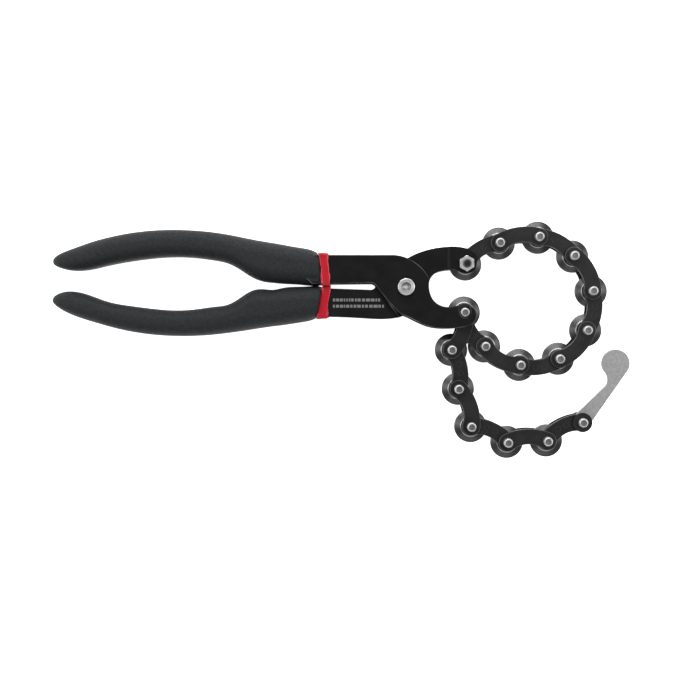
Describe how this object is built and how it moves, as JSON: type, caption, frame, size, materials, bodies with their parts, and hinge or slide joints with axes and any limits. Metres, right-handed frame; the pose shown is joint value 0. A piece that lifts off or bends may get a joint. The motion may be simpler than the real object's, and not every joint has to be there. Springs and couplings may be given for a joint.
{
  "type": "chain pipe cutter",
  "caption": "Hand chain cutter for exhaust pipes: crossed plier handles pull a chain of curved links and cutting wheels tight round a pipe; a flat tail handle ends the chain.",
  "frame": {"origin": "on the axis of the pivot rivet, at the rivet's rear face, on which the tool lies", "axes": "+X from the grips to the chain, +Y towards the hook lever's grip, +Z along the pivot to the front"},
  "size_m": [0.336, 0.1381, 0.0197],
  "materials": {
    "lever_steel": "satin black oxide and paint",
    "link_steel": "black oxide, satin",
    "wheel_steel": "hardened tool steel, turned",
    "pin_steel": "ground steel",
    "zinc": "bright zinc plate",
    "nylon": "moulded nylon",
    "tail_steel": "zinc plated sheet, satin",
    "grip_plastic": "fine sandy moulded texture",
    "band_plastic": "glossy red"
  },
  "bodies": {
    "chain_lever": {"chain_lever_front": "lever_steel", "chain_lever_rear": "lever_steel", "lower_grip": "grip_plastic", "lower_band": "band_plastic", "lower_tang_rivets": "pin_steel", "pivot_rivet": "zinc", "pivot_bush": "pin_steel", "anchor_bolt": "link_steel", "anchor_nut": "zinc", "nut_insert": "nylon"},
    "hook_lever": {"hook_lever_front": "lever_steel", "hook_lever_rear": "lever_steel", "upper_grip": "grip_plastic", "upper_band": "band_plastic", "upper_tang_rivets": "pin_steel"},
    "link_01": {"chain_link_01": "link_steel"},
    "link_02": {"chain_link_02": "link_steel", "link_pins_02": "pin_steel"},
    "link_03": {"chain_link_03": "link_steel"},
    "link_04": {"chain_link_04": "link_steel", "link_pins_04": "pin_steel"},
    "link_05": {"chain_link_05": "link_steel"},
    "link_06": {"chain_link_06": "link_steel", "link_pins_06": "pin_steel"},
    "link_07": {"chain_link_07": "link_steel"},
    "link_08": {"chain_link_08": "link_steel", "link_pins_08": "pin_steel"},
    "link_09": {"chain_link_09": "link_steel"},
    "link_10": {"chain_link_10": "link_steel", "link_pins_10": "pin_steel"},
    "link_11": {"chain_link_11": "link_steel"},
    "link_12": {"chain_link_12": "link_steel", "link_pins_12": "pin_steel"},
    "link_13": {"chain_link_13": "link_steel"},
    "link_14": {"chain_link_14": "link_steel", "link_pins_14": "pin_steel"},
    "link_15": {"chain_link_15": "link_steel", "tail_pin": "pin_steel", "tail_washers": "link_steel", "tail_spacers": "pin_steel"},
    "tail": {"tail_handle": "tail_steel"},
    "wheel_01": {"cutting_wheel_01": "wheel_steel"},
    "wheel_02": {"cutting_wheel_02": "wheel_steel"},
    "wheel_03": {"cutting_wheel_03": "wheel_steel"},
    "wheel_04": {"cutting_wheel_04": "wheel_steel"},
    "wheel_05": {"cutting_wheel_05": "wheel_steel"},
    "wheel_06": {"cutting_wheel_06": "wheel_steel"},
    "wheel_07": {"cutting_wheel_07": "wheel_steel"},
    "wheel_08": {"cutting_wheel_08": "wheel_steel"},
    "wheel_09": {"cutting_wheel_09": "wheel_steel"},
    "wheel_10": {"cutting_wheel_10": "wheel_steel"},
    "wheel_11": {"cutting_wheel_11": "wheel_steel"},
    "wheel_12": {"cutting_wheel_12": "wheel_steel"},
    "wheel_13": {"cutting_wheel_13": "wheel_steel"},
    "wheel_14": {"cutting_wheel_14": "wheel_steel"},
    "wheel_15": {"cutting_wheel_15": "wheel_steel"}
  },
  "joints": [
    {"name": "handle_pivot", "type": "hinge", "parent": "chain_lever", "child": "hook_lever", "pos_m": [0, 0, 0.0097], "axis": [0, 0, -1], "range_deg": [0, 25]},
    {"name": "link_01_hinge", "type": "hinge", "parent": "chain_lever", "child": "link_01", "pos_m": [0.0349, 0.0135, 0.0097], "axis": [0, 0, 1], "range_deg": [-11.12, 1]},
    {"name": "link_02_hinge", "type": "hinge", "parent": "link_01", "child": "link_02", "pos_m": [0.05441, 0.02569, 0.0097], "axis": [0, 0, 1], "range_deg": [-8.98, 1]},
    {"name": "link_03_hinge", "type": "hinge", "parent": "link_02", "child": "link_03", "pos_m": [0.07715, 0.02909, 0.0097], "axis": [0, 0, 1], "range_deg": [-6.38, 1]},
    {"name": "link_04_hinge", "type": "hinge", "parent": "link_03", "child": "link_04", "pos_m": [0.09737, 0.01811, 0.0097], "axis": [0, 0, 1], "range_deg": [-1, 5.78]},
    {"name": "link_05_hinge", "type": "hinge", "parent": "link_04", "child": "link_05", "pos_m": [0.10816, -0.00219, 0.0097], "axis": [0, 0, 1], "range_deg": [-1, 12.53]},
    {"name": "link_06_hinge", "type": "hinge", "parent": "link_05", "child": "link_06", "pos_m": [0.10496, -0.02497, 0.0097], "axis": [0, 0, 1], "range_deg": [-1, 6.6]},
    {"name": "link_07_hinge", "type": "hinge", "parent": "link_06", "child": "link_07", "pos_m": [0.08898, -0.04152, 0.0097], "axis": [0, 0, 1], "range_deg": [-3.73, 1]},
    {"name": "link_08_hinge", "type": "hinge", "parent": "link_07", "child": "link_08", "pos_m": [0.06627, -0.04511, 0.0097], "axis": [0, 0, 1], "range_deg": [-4.95, 1]},
    {"name": "link_09_hinge", "type": "hinge", "parent": "link_08", "child": "link_09", "pos_m": [0.04596, -0.03432, 0.0097], "axis": [0, 0, 1], "range_deg": [-2.98, 1]},
    {"name": "link_10_hinge", "type": "hinge", "parent": "link_09", "child": "link_10", "pos_m": [0.03411, -0.0146, 0.0097], "axis": [0, 0, 1], "range_deg": [-35, 0]},
    {"name": "link_11_hinge", "type": "hinge", "parent": "link_10", "child": "link_11", "pos_m": [0.02663, -0.03635, 0.0097], "axis": [0, 0, 1], "range_deg": [-30, 1]},
    {"name": "link_12_hinge", "type": "hinge", "parent": "link_11", "child": "link_12", "pos_m": [0.03062, -0.059, 0.0097], "axis": [0, 0, 1], "range_deg": [-30, 1]},
    {"name": "link_13_hinge", "type": "hinge", "parent": "link_12", "child": "link_13", "pos_m": [0.03792, -0.08081, 0.0097], "axis": [0, 0, 1], "range_deg": [-30, 1]},
    {"name": "link_14_hinge", "type": "hinge", "parent": "link_13", "child": "link_14", "pos_m": [0.05901, -0.08998, 0.0097], "axis": [0, 0, 1], "range_deg": [-30, 1]},
    {"name": "link_15_hinge", "type": "hinge", "parent": "link_14", "child": "link_15", "pos_m": [0.082, -0.08918, 0.0097], "axis": [0, 0, 1], "range_deg": [-30, 1]},
    {"name": "tail_handle_hinge", "type": "hinge", "parent": "link_15", "child": "tail", "pos_m": [0.1023, -0.07838, 0.0097], "axis": [0, 0, 1], "range_deg": [-75, 1]},
    {"name": "wheel_01_spin", "type": "hinge", "parent": "chain_lever", "child": "wheel_01", "pos_m": [0.0349, 0.0135, 0.0097], "axis": [0, 0, 1], "continuous": true},
    {"name": "wheel_02_spin", "type": "hinge", "parent": "link_02", "child": "wheel_02", "pos_m": [0.05441, 0.02569, 0.0097], "axis": [0, 0, 1], "continuous": true},
    {"name": "wheel_03_spin", "type": "hinge", "parent": "link_02", "child": "wheel_03", "pos_m": [0.07715, 0.02909, 0.0097], "axis": [0, 0, 1], "continuous": true},
    {"name": "wheel_04_spin", "type": "hinge", "parent": "link_04", "child": "wheel_04", "pos_m": [0.09737, 0.01811, 0.0097], "axis": [0, 0, 1], "continuous": true},
    {"name": "wheel_05_spin", "type": "hinge", "parent": "link_04", "child": "wheel_05", "pos_m": [0.10816, -0.00219, 0.0097], "axis": [0, 0, 1], "continuous": true},
    {"name": "wheel_06_spin", "type": "hinge", "parent": "link_06", "child": "wheel_06", "pos_m": [0.10496, -0.02497, 0.0097], "axis": [0, 0, 1], "continuous": true},
    {"name": "wheel_07_spin", "type": "hinge", "parent": "link_06", "child": "wheel_07", "pos_m": [0.08898, -0.04152, 0.0097], "axis": [0, 0, 1], "continuous": true},
    {"name": "wheel_08_spin", "type": "hinge", "parent": "link_08", "child": "wheel_08", "pos_m": [0.06627, -0.04511, 0.0097], "axis": [0, 0, 1], "continuous": true},
    {"name": "wheel_09_spin", "type": "hinge", "parent": "link_08", "child": "wheel_09", "pos_m": [0.04596, -0.03432, 0.0097], "axis": [0, 0, 1], "continuous": true},
    {"name": "wheel_10_spin", "type": "hinge", "parent": "link_10", "child": "wheel_10", "pos_m": [0.03411, -0.0146, 0.0097], "axis": [0, 0, 1], "continuous": true},
    {"name": "wheel_11_spin", "type": "hinge", "parent": "link_10", "child": "wheel_11", "pos_m": [0.02663, -0.03635, 0.0097], "axis": [0, 0, 1], "continuous": true},
    {"name": "wheel_12_spin", "type": "hinge", "parent": "link_12", "child": "wheel_12", "pos_m": [0.03062, -0.059, 0.0097], "axis": [0, 0, 1], "continuous": true},
    {"name": "wheel_13_spin", "type": "hinge", "parent": "link_12", "child": "wheel_13", "pos_m": [0.03792, -0.08081, 0.0097], "axis": [0, 0, 1], "continuous": true},
    {"name": "wheel_14_spin", "type": "hinge", "parent": "link_14", "child": "wheel_14", "pos_m": [0.05901, -0.08998, 0.0097], "axis": [0, 0, 1], "continuous": true},
    {"name": "wheel_15_spin", "type": "hinge", "parent": "link_14", "child": "wheel_15", "pos_m": [0.082, -0.08918, 0.0097], "axis": [0, 0, 1], "continuous": true}
  ],
  "couplings": [
    {"joint": "link_01_hinge", "follows": "handle_pivot", "ratio": -0.405},
    {"joint": "link_02_hinge", "follows": "handle_pivot", "ratio": -0.319},
    {"joint": "link_03_hinge", "follows": "handle_pivot", "ratio": -0.215},
    {"joint": "link_04_hinge", "follows": "handle_pivot", "ratio": 0.191},
    {"joint": "link_05_hinge", "follows": "handle_pivot", "ratio": 0.461},
    {"joint": "link_06_hinge", "follows": "handle_pivot", "ratio": 0.224},
    {"joint": "link_07_hinge", "follows": "handle_pivot", "ratio": -0.109},
    {"joint": "link_08_hinge", "follows": "handle_pivot", "ratio": -0.158},
    {"joint": "link_09_hinge", "follows": "handle_pivot", "ratio": -0.079}
  ]
}
